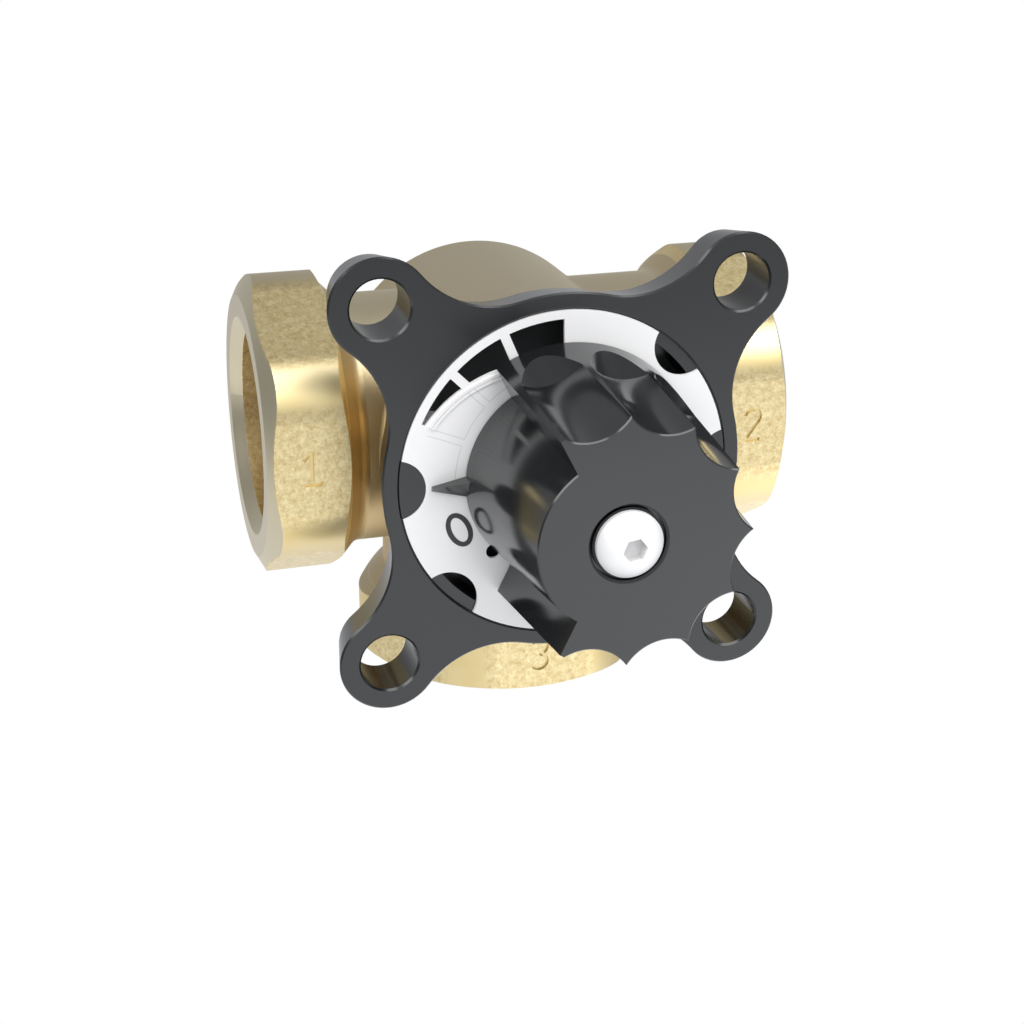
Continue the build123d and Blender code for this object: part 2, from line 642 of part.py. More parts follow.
def rotor():
    """Cast slide: front disc, curved wall, rear arm and two hubs."""
    half = math.radians(ROTOR_SPAN_ANGLE / 2)
    edge = (FAR * math.cos(half), FAR * math.sin(half))
    wedge = make_face(Polyline((0, 0), edge, (FAR, 0), (edge[0], -edge[1]), close=True))
    sector = prism(wedge, ROTOR_FRONT, ROTOR_REAR)
    wall = ring(ROTOR_RADIUS - ROTOR_WALL, ROTOR_RADIUS, ROTOR_FRONT, ROTOR_REAR)
    arm = disc(ROTOR_RADIUS, ROTOR_REAR - ROTOR_ARM_THICKNESS, ROTOR_REAR)
    slide = sector & (wall + arm)
    slide += disc(ROTOR_RADIUS, ROTOR_FRONT, ROTOR_FRONT + ROTOR_DISC_THICKNESS)
    slide += disc(ROTOR_HUB_RADIUS, ROTOR_FRONT, ROTOR_FRONT_HUB_END)
    slide += disc(ROTOR_HUB_RADIUS, ROTOR_REAR_HUB_START, ROTOR_REAR)
    slide -= disc(STEM_RADIUS + SEAT_GAP, ROTOR_FRONT, ROTOR_REAR)
    hole = Pos(0, PIN_Y, 0) * Cylinder(PIN_RADIUS + SEAT_GAP, 2 * ROTOR_HUB_RADIUS + 1)
    return slide - hole


def front_bush():
    """Stem bearing in the cover."""
    return ring(
        STEM_RADIUS + RUNNING_FIT,
        BUSH_POCKET_RADIUS - SEAT_GAP,
        SPIGOT_REAR - FRONT_BUSH_LENGTH + SEAT_GAP,
        SPIGOT_REAR,
    )


def rear_bush():
    """Stem bearing in the closed end of the barrel."""
    return ring(
        STEM_PIVOT_RADIUS + RUNNING_FIT,
        BUSH_POCKET_RADIUS - SEAT_GAP,
        CHAMBER_REAR,
        BUSH_POCKET_REAR - SEAT_GAP,
    )


def thrust_washer():
    """Washer between the rotor and the cover."""
    return ring(
        STEM_RADIUS + SEAL_BORE_FIT,
        THRUST_WASHER_RADIUS,
        SPIGOT_REAR + SEAT_GAP,
        SPIGOT_REAR + THRUST_WASHER_THICKNESS,
    )


def stem_seal(y):
    """O-ring in one of the stem's grooves."""
    return o_ring(STEM_GROOVE_RADIUS + SEAT_GAP + STEM_SEAL_SECTION, STEM_SEAL_SECTION, y)


def cover_seal():
    """O-ring in the groove of the cover's spigot."""
    return o_ring(SEAL_GROOVE_RADIUS + SEAT_GAP + COVER_SEAL_SECTION, COVER_SEAL_SECTION, SEAL_GROOVE_Y)


def retaining_clip():
    """Open clip in the stem's groove, in front of the cover's boss."""
    clip = Circle(CLIP_RADIUS) - Circle(CLIP_GROOVE_RADIUS + SEAT_GAP)
    left = polar(FAR, 90 + CLIP_OPENING_ANGLE / 2)
    right = polar(FAR, 90 - CLIP_OPENING_ANGLE / 2)
    clip -= make_face(Polyline((0, 0), left, right, close=True))
    return prism(clip, CLIP_REAR - CLIP_THICKNESS, CLIP_REAR)


def cover_screw(place):
    """Socket-head screw that holds the cover."""
    head_front = RECESS_FLOOR - COVER_SCREW_HEAD_HEIGHT
    screw = prism(Circle(COVER_SCREW_HEAD_RADIUS), head_front, RECESS_FLOOR)
    screw += prism(Circle(COVER_SCREW_RADIUS), RECESS_FLOOR, RECESS_FLOOR + COVER_SCREW_LENGTH)
    socket = hex_socket(COVER_SCREW_SOCKET, 0)
    screw -= prism(socket, head_front, head_front + COVER_SCREW_HEAD_HEIGHT / 2)
    return Pos(place[0], 0, place[1]) * screw


def all_pieces():
    """Every piece of the valve by name, modelled about the stem axis."""
    pieces = {
        "valve_body": valve_body(),
        "front_cover": front_cover(),
        "scale_disc": scale_disc(),
        "knob": knob(),
        "knob_screw": knob_screw(),
        "knob_washer": knob_washer(),
        "knob_adapter": knob_adapter(),
        "stem": stem(),
        "rotor": rotor(),
        "rotor_pin": rotor_pin(),
        "front_bush": front_bush(),
        "rear_bush": rear_bush(),
        "thrust_washer": thrust_washer(),
        "stem_seal_inner": stem_seal(INNER_SEAL_Y),
        "stem_seal_outer": stem_seal(OUTER_SEAL_Y),
        "cover_seal": cover_seal(),
        "retaining_clip": retaining_clip(),
    }
    for number, place in enumerate(cover_screw_places(), start=1):
        pieces[f"cover_screw_{number}"] = cover_screw(place)
    return pieces


def main():
    """Write one STEP file for each piece."""
    os.makedirs("parts", exist_ok=True)
    for name, piece in all_pieces().items():
        export_step(placed(piece), f"parts/{name}.step")


if __name__ == "__main__":
    main()
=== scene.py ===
"""Looks of a three-way mixing valve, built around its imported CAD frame."""

import functools
import logging
import math
from dataclasses import dataclass
from enum import Enum

import bpy
from mathutils import Matrix, Vector


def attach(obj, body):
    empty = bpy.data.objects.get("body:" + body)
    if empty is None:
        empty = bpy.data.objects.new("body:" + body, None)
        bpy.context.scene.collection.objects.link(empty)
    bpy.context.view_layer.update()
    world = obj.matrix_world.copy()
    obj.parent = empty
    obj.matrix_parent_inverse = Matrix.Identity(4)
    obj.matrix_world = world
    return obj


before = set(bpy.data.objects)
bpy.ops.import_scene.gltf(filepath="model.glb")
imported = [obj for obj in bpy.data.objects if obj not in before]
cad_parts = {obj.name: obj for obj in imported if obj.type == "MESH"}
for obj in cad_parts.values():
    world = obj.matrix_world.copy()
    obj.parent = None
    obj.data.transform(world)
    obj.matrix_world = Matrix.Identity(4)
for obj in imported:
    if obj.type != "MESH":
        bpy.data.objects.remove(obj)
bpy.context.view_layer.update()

logging.basicConfig(level=logging.INFO, format="%(message)s")
log = logging.getLogger("valve")

MM = 0.001
# The plane through the ports, the height of the stem and the front face of the cover
PORT_Y = 0.021175
AXIS_Z = 0.041
COVER_Y = PORT_Y - 0.0344
# Input numbers of a Mix node, for two values and for two colours
VALUE_A, VALUE_B, COLOUR_A, COLOUR_B = 2, 3, 6, 7
# How far a wave texture of scale 1 runs before it repeats
WAVE_PERIOD = math.tau / 20
BLACK = (0.0, 0.0, 0.0, 1.0)
WHITE = (1.0, 1.0, 1.0, 1.0)

Tree = bpy.types.NodeTree
Node = bpy.types.Node
Socket = bpy.types.NodeSocket
Colour = tuple[float, float, float, float]
Span = tuple[float, float]


class Machined(Enum):
    """Which way fine tool marks run."""

    AROUND_STEM = "around_stem"
    ALONG_STEM = "along_stem"


def linear(code: str) -> Colour:
    """Turn an sRGB hex colour into the linear colour that a shader takes.

    Args:
        code: The colour, such as #fff0be.

    Returns:
        Linear red, green, blue and full alpha.
    """
    parts = [int(code[i : i + 2], 16) / 255 for i in (1, 3, 5)]
    values = [c / 12.92 if c <= 0.04045 else ((c + 0.055) / 1.055) ** 2.4 for c in parts]
    return (*values, 1.0)


def darkened(colour: Colour, share: float) -> Colour:
    """Return a linear colour with this share of its light taken away."""
    return (*(part * (1 - share) for part in colour[:3]), 1.0)


def add_node(tree: Tree, kind: str, inputs: dict | tuple = (), **settings: object) -> Node:
    """Add one shader node.

    Args:
        tree: The node tree to add to.
        kind: The node's type name, without its prefix.
        inputs: Values, sockets or nodes, by input name or number, or in the order of the inputs. A node
            stands for its first output in use.
        settings: Properties of the node itself.

    Returns:
        The new node.
    """
    node = tree.nodes.new(f"ShaderNode{kind}")
    for name, setting in settings.items():
        setattr(node, name, setting)
    for place, value in inputs.items() if isinstance(inputs, dict) else enumerate(inputs):
        if isinstance(value, Node):
            value = next(output for output in value.outputs if output.enabled)
        if isinstance(value, Socket):
            tree.links.new(value, node.inputs[place])
        else:
            node.inputs[place].default_value = value
    return node


def blank_material(name: str) -> bpy.types.Material:
    """Start a material.

    Args:
        name: The material's name.

    Returns:
        The material, with an empty node tree.
    """
    material = bpy.data.materials.new(name)
    material.use_nodes = True
    material.node_tree.nodes.clear()
    return material


def radius_about(tree: Tree, across: tuple[Socket, Socket], middle: Span) -> Node:
    """Measure the distance from an axis.

    Args:
        tree: The node tree.
        across: The two coordinates across the axis.
        middle: Where the axis crosses them.

    Returns:
        The node that gives the distance.
    """
    a, b = (
        add_node(tree, "Math", (value, centre), operation="SUBTRACT")
        for value, centre in zip(across, middle, strict=True)
    )
    a_squared = add_node(tree, "Math", (a, a), operation="MULTIPLY")
    b_squared = add_node(tree, "Math", (b, b), operation="MULTIPLY")
    total = add_node(tree, "Math", (a_squared, b_squared), operation="ADD")
    return add_node(tree, "Math", (total,), operation="SQRT")


@dataclass(frozen=True)
class Pattern:
    """Random pattern whose features have a real size."""

    size_mm: float
    detail: float = 3.0
    roughness: float = 0.55

    def at(self, where: Socket) -> dict[str, object]:
        """Return the inputs that a noise texture takes to show this pattern there."""
        scale = 1 / (self.size_mm * MM)
        return {"Vector": where, "Scale": scale, "Detail": self.detail, "Roughness": self.roughness}


@dataclass(frozen=True)
class BrassPlaces:
    """Masks from 0 to 1 of the places where the casting was worked in different ways."""

    hubs: Node
    flat: Node
    mouth: Node
    inside: Node


@dataclass(frozen=True)
class CastBrass:
    """Brass casting with blasted flats, polished corners and necks, and turned mouths and bores."""

    name: str = "cast_brass"
    light: str = "#fff0be"
    dark: str = "#d4b97f"
    polished: str = "#e9cd88"
    # Painted reflection: grey given to the brass off the flats where it faces up or down
    painted_grey_reflection: str = "#d8ccae"
    # Painted shade: darker colour for flats that face up or down
    level_flat_shade: str = "#8f8468"
    # Painted shade: darker polished brass outside the hubs, at the necks and barrel
    shaded_neck: str = "#cdb280"
    machined: str = "#dfd5b8"
    # Painted light: pale colours that light up the inside of the bores
    lit_bore: str = "#fff0c6"
    lit_bore_dark: str = "#ceb174"
    flat_roughness: float = 0.36
    polished_roughness: float = 0.38
    uneven_roughness: float = 0.1
    machined_roughness: float = 0.34
    mouth: float = 0.0392
    mouth_height: float = 0.0018
    hub_start: float = 0.0287
    low_hub_top: float = 0.0123
    half_flats: float = 0.022
    flat_blend: float = 0.0004
    flat_slack: float = 0.00002
    bore_radius: float = 0.01525
    bore_start: float = 0.0177
    # Blasting leaves a mottle about a millimetre wide, with finer specks in it
    mottle: Pattern = Pattern(1.0, 6.0, 0.7)
    cloud: Pattern = Pattern(7.0, 2.0)
    specks: Pattern = Pattern(0.38)
    fine: Pattern = Pattern(0.45, 4.0)
    specks_share: float = 0.3
    patch_span: Span = (0.34, 0.64)
    upright_span: Span = (0.35, 0.92)
    # Share of painted shade on flats that face up or down
    level_flat_shade_share: float = 0.16
    # Real turning marks are too fine to show, so the rings are drawn this coarse
    ring_mm: float = 1.2083
    ring_wobble: float = 0.6
    grain_depth_mm: float = 0.05
    mottle_height: float = 0.9
    fine_height: float = 0.6
    smooth_relief: float = 0.25
    rough_relief: float = 0.85
    mouth_relief: float = 0.12

    def on_flats(self, tree: Tree, first: Node, second: Node | Socket) -> Node:
        """Find the six flats of a hub.

        Args:
            tree: The material's node tree.
            first: Distance from the hub's axis towards a flat.
            second: Distance from the hub's axis towards a corner.

        Returns:
            The mask: one on the flats, fading to nothing at the rounded corners.
        """
        half = add_node(tree, "Math", (first, 0.5), operation="MULTIPLY")
        rise = add_node(tree, "Math", (second, math.sqrt(0.75)), operation="MULTIPLY")
        sides = (
            first,
            add_node(tree, "Math", (half, rise), operation="ADD"),
            add_node(tree, "Math", (half, rise), operation="SUBTRACT"),
        )
        sizes = [add_node(tree, "Math", (side,), operation="ABSOLUTE") for side in sides]
        reach = add_node(tree, "Math", tuple(sizes[:2]), operation="MAXIMUM")
        reach = add_node(tree, "Math", (reach, sizes[2]), operation="MAXIMUM")
        span = (self.half_flats - self.flat_blend, self.half_flats - self.flat_slack)
        return add_node(tree, "MapRange", (reach, *span))

    def places(self, tree: Tree, where: Socket) -> BrassPlaces:
        """Find the hubs and their flats, the mouths and the bores.

        Args:
            tree: The material's node tree.
            where: Object coordinates.

        Returns:
            A mask of each.
        """
        x, y, z = add_node(tree, "SeparateXYZ", (where,)).outputs
        across = add_node(tree, "Math", (x,), operation="ABSOLUTE")
        deep = add_node(tree, "Math", (y, PORT_Y), operation="SUBTRACT")
        high = add_node(tree, "Math", (z, AXIS_Z), operation="SUBTRACT")

        side_hub = add_node(tree, "Math", (across, self.hub_start), operation="GREATER_THAN")
        low_hub = add_node(tree, "Math", (z, self.low_hub_top), operation="LESS_THAN")
        hubs = add_node(tree, "Math", (side_hub, low_hub), operation="MAXIMUM")
        side_flat = add_node(tree, "Math", (side_hub, self.on_flats(tree, deep, high)), operation="MULTIPLY")
        low_flat = add_node(tree, "Math", (low_hub, self.on_flats(tree, deep, x)), operation="MULTIPLY")
        flat = add_node(tree, "Math", (side_flat, low_flat), operation="MAXIMUM")

        side_mouth = add_node(tree, "Math", (across, self.mouth), operation="GREATER_THAN")
        low_mouth = add_node(tree, "Math", (z, self.mouth_height), operation="LESS_THAN")
        mouth = add_node(tree, "Math", (side_mouth, low_mouth), operation="MAXIMUM")
        off_flats = add_node(tree, "Math", (1.0, flat), operation="SUBTRACT")
        mouth = add_node(tree, "Math", (mouth, off_flats), operation="MULTIPLY")

        side_radius = radius_about(tree, (y, z), (PORT_Y, AXIS_Z))
        side_bore = add_node(tree, "Math", (side_radius, self.bore_radius), operation="LESS_THAN")
        side_end = add_node(tree, "Math", (across, self.bore_start), operation="GREATER_THAN")
        side_bore = add_node(tree, "Math", (side_bore, side_end), operation="MULTIPLY")
        low_radius = radius_about(tree, (x, y), (0.0, PORT_Y))
        low_bore = add_node(tree, "Math", (low_radius, self.bore_radius), operation="LESS_THAN")
        low_end = add_node(tree, "Math", (z, AXIS_Z - self.bore_start), operation="LESS_THAN")
        low_bore = add_node(tree, "Math", (low_bore, low_end), operation="MULTIPLY")
        inside = add_node(tree, "Math", (side_bore, low_bore), operation="MAXIMUM")
        return BrassPlaces(hubs, flat, mouth, inside)

    def colour(self, tree: Tree, where: Socket, places: BrassPlaces) -> Node:
        """Colour the casting: mottled flats, even corners, painted shade on the necks and on flats that face
        up or down, a painted grey reflection on the rest where it faces up or down, and painted light in the
        bores.

        Args:
            tree: The material's node tree.
            where: Object coordinates.
            places: The masks from places.

        Returns:
            The node that gives the colour.
        """
        mottle = add_node(tree, "TexNoise", self.mottle.at(where))
        cloud = add_node(tree, "TexNoise", self.cloud.at(where))
        specks = add_node(tree, "TexNoise", self.specks.at(where))
        ends = {VALUE_A: mottle, VALUE_B: specks}
        mixed = add_node(tree, "Mix", {0: self.specks_share, **ends}, data_type="FLOAT")
        patches = add_node(tree, "MapRange", (mixed, *self.patch_span))
        ends = {COLOUR_A: linear(self.dark), COLOUR_B: linear(self.light)}
        rough_skin = add_node(tree, "Mix", {0: patches, **ends}, data_type="RGBA")
        ends = {COLOUR_A: linear(self.polished), COLOUR_B: linear(self.light)}
        sheen = add_node(tree, "Mix", {0: cloud, **ends}, data_type="RGBA")
        # Painted shade: outside the hubs the polished brass is darker
        ends = {COLOUR_A: linear(self.shaded_neck), COLOUR_B: sheen}
        sheen = add_node(tree, "Mix", {0: places.hubs, **ends}, data_type="RGBA")
        ends = {COLOUR_A: sheen, COLOUR_B: rough_skin}
        cast = add_node(tree, "Mix", {0: places.flat, **ends}, data_type="RGBA")

        facing = add_node(tree, "TexCoord").outputs["Normal"]
        facing_up = add_node(tree, "SeparateXYZ", (facing,)).outputs["Z"]
        upright = add_node(tree, "Math", (facing_up,), operation="ABSOLUTE")
        level = add_node(tree, "MapRange", (upright, *self.upright_span))
        off_flats = add_node(tree, "Math", (1.0, places.flat), operation="SUBTRACT")
        greyed_by_reflection = add_node(tree, "Math", (level, off_flats), operation="MULTIPLY")
        # Painted reflection: off the flats, faces that face up or down are greyed
        ends = {COLOUR_A: cast, COLOUR_B: linear(self.painted_grey_reflection)}
        cast = add_node(tree, "Mix", {0: greyed_by_reflection, **ends}, data_type="RGBA")
        # Painted shade: flats that face up or down are darkened
        level_flat = add_node(tree, "Math", (level, places.flat), operation="MULTIPLY")
        painted_flat_shade = add_node(tree, "Math", (level_flat, self.level_flat_shade_share), operation="MULTIPLY")
        ends = {COLOUR_A: cast, COLOUR_B: linear(self.level_flat_shade)}
        cast = add_node(tree, "Mix", {0: painted_flat_shade, **ends}, data_type="RGBA")

        ends = {COLOUR_A: cast, COLOUR_B: linear(self.machined)}
        turned = add_node(tree, "Mix", {0: places.mouth, **ends}, data_type="RGBA")
        # Painted light: the bores are paler than the brass outside, still mottled
        ends = {COLOUR_A: linear(self.lit_bore_dark), COLOUR_B: linear(self.lit_bore)}
        lit_bore_colour = add_node(tree, "Mix", {0: patches, **ends}, data_type="RGBA")
        return add_node(tree, "Mix", {0: places.inside, COLOUR_A: turned, COLOUR_B: lit_bore_colour}, data_type="RGBA")

    def relief(self, tree: Tree, where: Socket, places: BrassPlaces) -> Node:
        """Roughen the surface: cast grain, and rings at the mouths.

        Args:
            tree: The material's node tree.
            where: Object coordinates.
            places: The masks from places.

        Returns:
            The node that gives the normal.
        """
        mottle = add_node(tree, "TexNoise", self.mottle.at(where))
        fine = add_node(tree, "TexNoise", self.fine.at(where))
        coarse = add_node(tree, "Math", (mottle, self.mottle_height), operation="MULTIPLY")
        fine = add_node(tree, "Math", (fine, self.fine_height), operation="MULTIPLY")
        grain = add_node(tree, "Math", (coarse, fine), operation="ADD")
        ring_inputs = {
            "Vector": where,
            "Scale": WAVE_PERIOD / (self.ring_mm * MM),
            "Distortion": self.ring_wobble,
        }
        rings = add_node(tree, "TexWave", ring_inputs, bands_direction="X").outputs["Fac"]
        height = add_node(tree, "Mix", {0: places.mouth, VALUE_A: grain, VALUE_B: rings}, data_type="FLOAT")
        rough = add_node(tree, "Math", (places.flat, places.inside), operation="MAXIMUM")
        ends = {VALUE_A: self.smooth_relief, VALUE_B: self.rough_relief}
        skin = add_node(tree, "Mix", {0: rough, **ends}, data_type="FLOAT")
        ends = {VALUE_A: skin, VALUE_B: self.mouth_relief}
        strength = add_node(tree, "Mix", {0: places.mouth, **ends}, data_type="FLOAT")
        depth = self.grain_depth_mm * MM
        return add_node(tree, "Bump", {"Height": height, "Distance": depth, "Strength": strength})

    def roughness(self, tree: Tree, where: Socket, places: BrassPlaces) -> Node:
        """Set the roughness: even on the flats, uneven beside them, smoother where it's turned.

        Args:
            tree: The material's node tree.
            where: Object coordinates.
            places: The masks from places.

        Returns:
            The node that gives the roughness.
        """
        cloud = add_node(tree, "TexNoise", self.cloud.at(where))
        ends = {VALUE_A: self.polished_roughness, VALUE_B: self.polished_roughness + self.uneven_roughness}
        smooth = add_node(tree, "Mix", {0: cloud, **ends}, data_type="FLOAT")
        ends = {VALUE_A: smooth, VALUE_B: self.flat_roughness}
        skin = add_node(tree, "Mix", {0: places.flat, **ends}, data_type="FLOAT")
        machined = add_node(tree, "Math", (places.mouth, places.inside), operation="MAXIMUM")
        ends = {VALUE_A: skin, VALUE_B: self.machined_roughness}
        return add_node(tree, "Mix", {0: machined, **ends}, data_type="FLOAT")

    def build(self) -> bpy.types.Material:
        """Build the material of the whole casting.

        Returns:
            The material.
        """
        material = blank_material(self.name)
        tree = material.node_tree
        where = add_node(tree, "TexCoord").outputs["Object"]
        places = self.places(tree, where)
        surface = {
            "Base Color": self.colour(tree, where, places),
            "Roughness": self.roughness(tree, where, places),
            "Normal": self.relief(tree, where, places),
            "Metallic": 1.0,
        }
        add_node(tree, "OutputMaterial", {"Surface": add_node(tree, "BsdfPrincipled", surface)})
        return material


@dataclass(frozen=True)
class Plastic:
    """Moulded plastic with a faint grain and slightly uneven colour."""

    name: str
    colour: str
    roughness: float
    grain: Pattern = Pattern(0.4)
    grain_depth_mm: float = 0.004
    cloud: Pattern = Pattern(9.0, 2.0)
    shade: float = 0.06
    uneven_roughness: float = 0.04
    specular: float = 0.5
    recess_painted_light: str = ""
    recess_radius: float = 0.0224
    recess_mouth: float = COVER_Y + 0.003

    def in_recess(self, tree: Tree, where: Socket) -> Node:
        """Find the recess about the stem, which painted light makes a little paler.

        Args:
            tree: The material's node tree.
            where: Object coordinates.

        Returns:
            The mask of the recess.
        """
        x, y, z = add_node(tree, "SeparateXYZ", (where,)).outputs
        radius = radius_about(tree, (x, z), (0.0, AXIS_Z))
        near = add_node(tree, "Math", (radius, self.recess_radius), operation="LESS_THAN")
        deep = add_node(tree, "Math", (y, self.recess_mouth), operation="GREATER_THAN")
        return add_node(tree, "Math", (near, deep), operation="MULTIPLY")

    def build(self) -> bpy.types.Material:
        """Build the plastic, with painted light in its recess where it has one.

        Returns:
            The material.
        """
        material = blank_material(self.name)
        tree = material.node_tree
        where = add_node(tree, "TexCoord").outputs["Object"]
        base = linear(self.colour)
        cloud = add_node(tree, "TexNoise", self.cloud.at(where))
        ends = {COLOUR_A: darkened(base, self.shade), COLOUR_B: base}
        colour = add_node(tree, "Mix", {0: cloud, **ends}, data_type="RGBA")
        # Painted light: the shaded recess is coloured paler
        if self.recess_painted_light:
            ends = {COLOUR_A: colour, COLOUR_B: linear(self.recess_painted_light)}
            colour = add_node(tree, "Mix", {0: self.in_recess(tree, where), **ends}, data_type="RGBA")
        grain = add_node(tree, "TexNoise", self.grain.at(where))
        spread = add_node(tree, "Math", (grain, self.uneven_roughness), operation="MULTIPLY")
        lowest = self.roughness - self.uneven_roughness / 2
        surface = {
            "Base Color": colour,
            "Roughness": add_node(tree, "Math", (lowest, spread), operation="ADD"),
            "Normal": add_node(tree, "Bump", {"Height": grain, "Distance": self.grain_depth_mm * MM}),
            "Specular IOR Level": self.specular,
        }
        add_node(tree, "OutputMaterial", {"Surface": add_node(tree, "BsdfPrincipled", surface)})
        return material


@dataclass(frozen=True)
class ScalePlastic:
    """White moulded scale with fine grooves beside the window."""

    name: str
    colour: str
    groove_colour: str
    roughness: float
    rim_middle: Span = (-0.00529, -0.00178)
    rim_radius: float = 0.0178
    cell_radius: float = 0.0164
    strip_angles: tuple[float, ...] = (112.8, 135.1, 157.6, 180.0)
    strip_half: float = 0.00052
    groove: float = 0.00006
    cells_right: float = -0.002
    cells_bottom: float = 0.001
    grain: Pattern = Pattern(0.5)
    grain_depth_mm: float = 0.002
    cloud: Pattern = Pattern(6.0, 2.0)
    shade: float = 0.03
    uneven_roughness: float = 0.06

    def near(self, tree: Tree, distance: Node, target: float) -> Node:
        """Draw one groove where a distance has a certain size.

        Args:
            tree: The material's node tree.
            distance: The node that gives the distance.
            target: The distance at the middle of the groove.

        Returns:
            The mask of the groove.
        """
        off = add_node(tree, "Math", (distance, target), operation="SUBTRACT")
        off = add_node(tree, "Math", (off,), operation="ABSOLUTE")
        return add_node(tree, "Math", (off, self.groove), operation="LESS_THAN")

    def strip(self, tree: Tree, x: Socket, high: Node, angle: float) -> tuple[Node, Node]:
        """Place one strip that runs outwards between two cells.

        Args:
            tree: The material's node tree.
            x: Distance to the right of the stem.
            high: Distance above the stem.
            angle: The strip's direction from the stem, in radians.

        Returns:
            The mask of the strip and the mask of the grooves along it.
        """
        along_x = add_node(tree, "Math", (x, math.cos(angle)), operation="MULTIPLY")
        along_z = add_node(tree, "Math", (high, math.sin(angle)), operation="MULTIPLY")
        along = add_node(tree, "Math", (along_x, along_z), operation="ADD")
        side_z = add_node(tree, "Math", (high, math.cos(angle)), operation="MULTIPLY")
        side_x = add_node(tree, "Math", (x, math.sin(angle)), operation="MULTIPLY")
        side = add_node(tree, "Math", (side_z, side_x), operation="SUBTRACT")
        side = add_node(tree, "Math", (side,), operation="ABSOLUTE")
        ahead = add_node(tree, "Math", (along, 0.0), operation="GREATER_THAN")
        within = add_node(tree, "Math", (side, self.strip_half), operation="LESS_THAN")
        edges = self.near(tree, side, self.strip_half)
        return (
            add_node(tree, "Math", (ahead, within), operation="MULTIPLY"),
            add_node(tree, "Math", (ahead, edges), operation="MULTIPLY"),
        )

    def grooves(self, tree: Tree, where: Socket) -> Node:
        """Draw the outlines of the cells beside the window.

        Args:
            tree: The material's node tree.
            where: Object coordinates.

        Returns:
            The mask of the grooves.
        """
        x, _, z = add_node(tree, "SeparateXYZ", (where,)).outputs
        high = add_node(tree, "Math", (z, AXIS_Z), operation="SUBTRACT")
        rim = radius_about(tree, (x, z), (self.rim_middle[0], AXIS_Z + self.rim_middle[1]))
        radius = radius_about(tree, (x, z), (0.0, AXIS_Z))
        outside = add_node(tree, "Math", (radius, self.cell_radius), operation="GREATER_THAN")
        below_rim = add_node(tree, "Math", (rim, self.rim_radius), operation="LESS_THAN")
        cell = add_node(tree, "Math", (outside, below_rim), operation="MULTIPLY")
        lines: Node | float = 0.0
        strips: Node | float = 0.0
        for angle in map(math.radians, self.strip_angles):
            within, edges = self.strip(tree, x, high, angle)
            strips = add_node(tree, "Math", (strips, within), operation="MAXIMUM")
            edges = add_node(tree, "Math", (edges, cell), operation="MULTIPLY")
            lines = add_node(tree, "Math", (lines, edges), operation="MAXIMUM")
        between = add_node(tree, "Math", (1.0, strips), operation="SUBTRACT")
        arc = self.near(tree, radius, self.cell_radius)
        arc = add_node(tree, "Math", (between, arc), operation="MULTIPLY")
        lines = add_node(tree, "Math", (lines, arc), operation="MAXIMUM")
        left = add_node(tree, "Math", (x, self.cells_right), operation="LESS_THAN")
        upper = add_node(tree, "Math", (high, self.cells_bottom), operation="GREATER_THAN")
        quarter = add_node(tree, "Math", (left, upper), operation="MULTIPLY")
        return add_node(tree, "Math", (lines, quarter), operation="MULTIPLY")

    def build(self) -> bpy.types.Material:
        """Build the plastic with its grooves.

        Returns:
            The material.
        """
        material = blank_material(self.name)
        tree = material.node_tree
        where = add_node(tree, "TexCoord").outputs["Object"]
        base = linear(self.colour)
        cloud = add_node(tree, "TexNoise", self.cloud.at(where))
        ends = {COLOUR_A: darkened(base, self.shade), COLOUR_B: base}
        plain = add_node(tree, "Mix", {0: cloud, **ends}, data_type="RGBA")
        ends = {COLOUR_A: plain, COLOUR_B: linear(self.groove_colour)}
        grain = add_node(tree, "TexNoise", self.grain.at(where))
        spread = add_node(tree, "Math", (grain, self.uneven_roughness), operation="MULTIPLY")
        lowest = self.roughness - self.uneven_roughness / 2
        surface = {
            "Base Color": add_node(tree, "Mix", {0: self.grooves(tree, where), **ends}, data_type="RGBA"),
            "Roughness": add_node(tree, "Math", (lowest, spread), operation="ADD"),
            "Normal": add_node(tree, "Bump", {"Height": grain, "Distance": self.grain_depth_mm * MM}),
        }
        add_node(tree, "OutputMaterial", {"Surface": add_node(tree, "BsdfPrincipled", surface)})
        return material


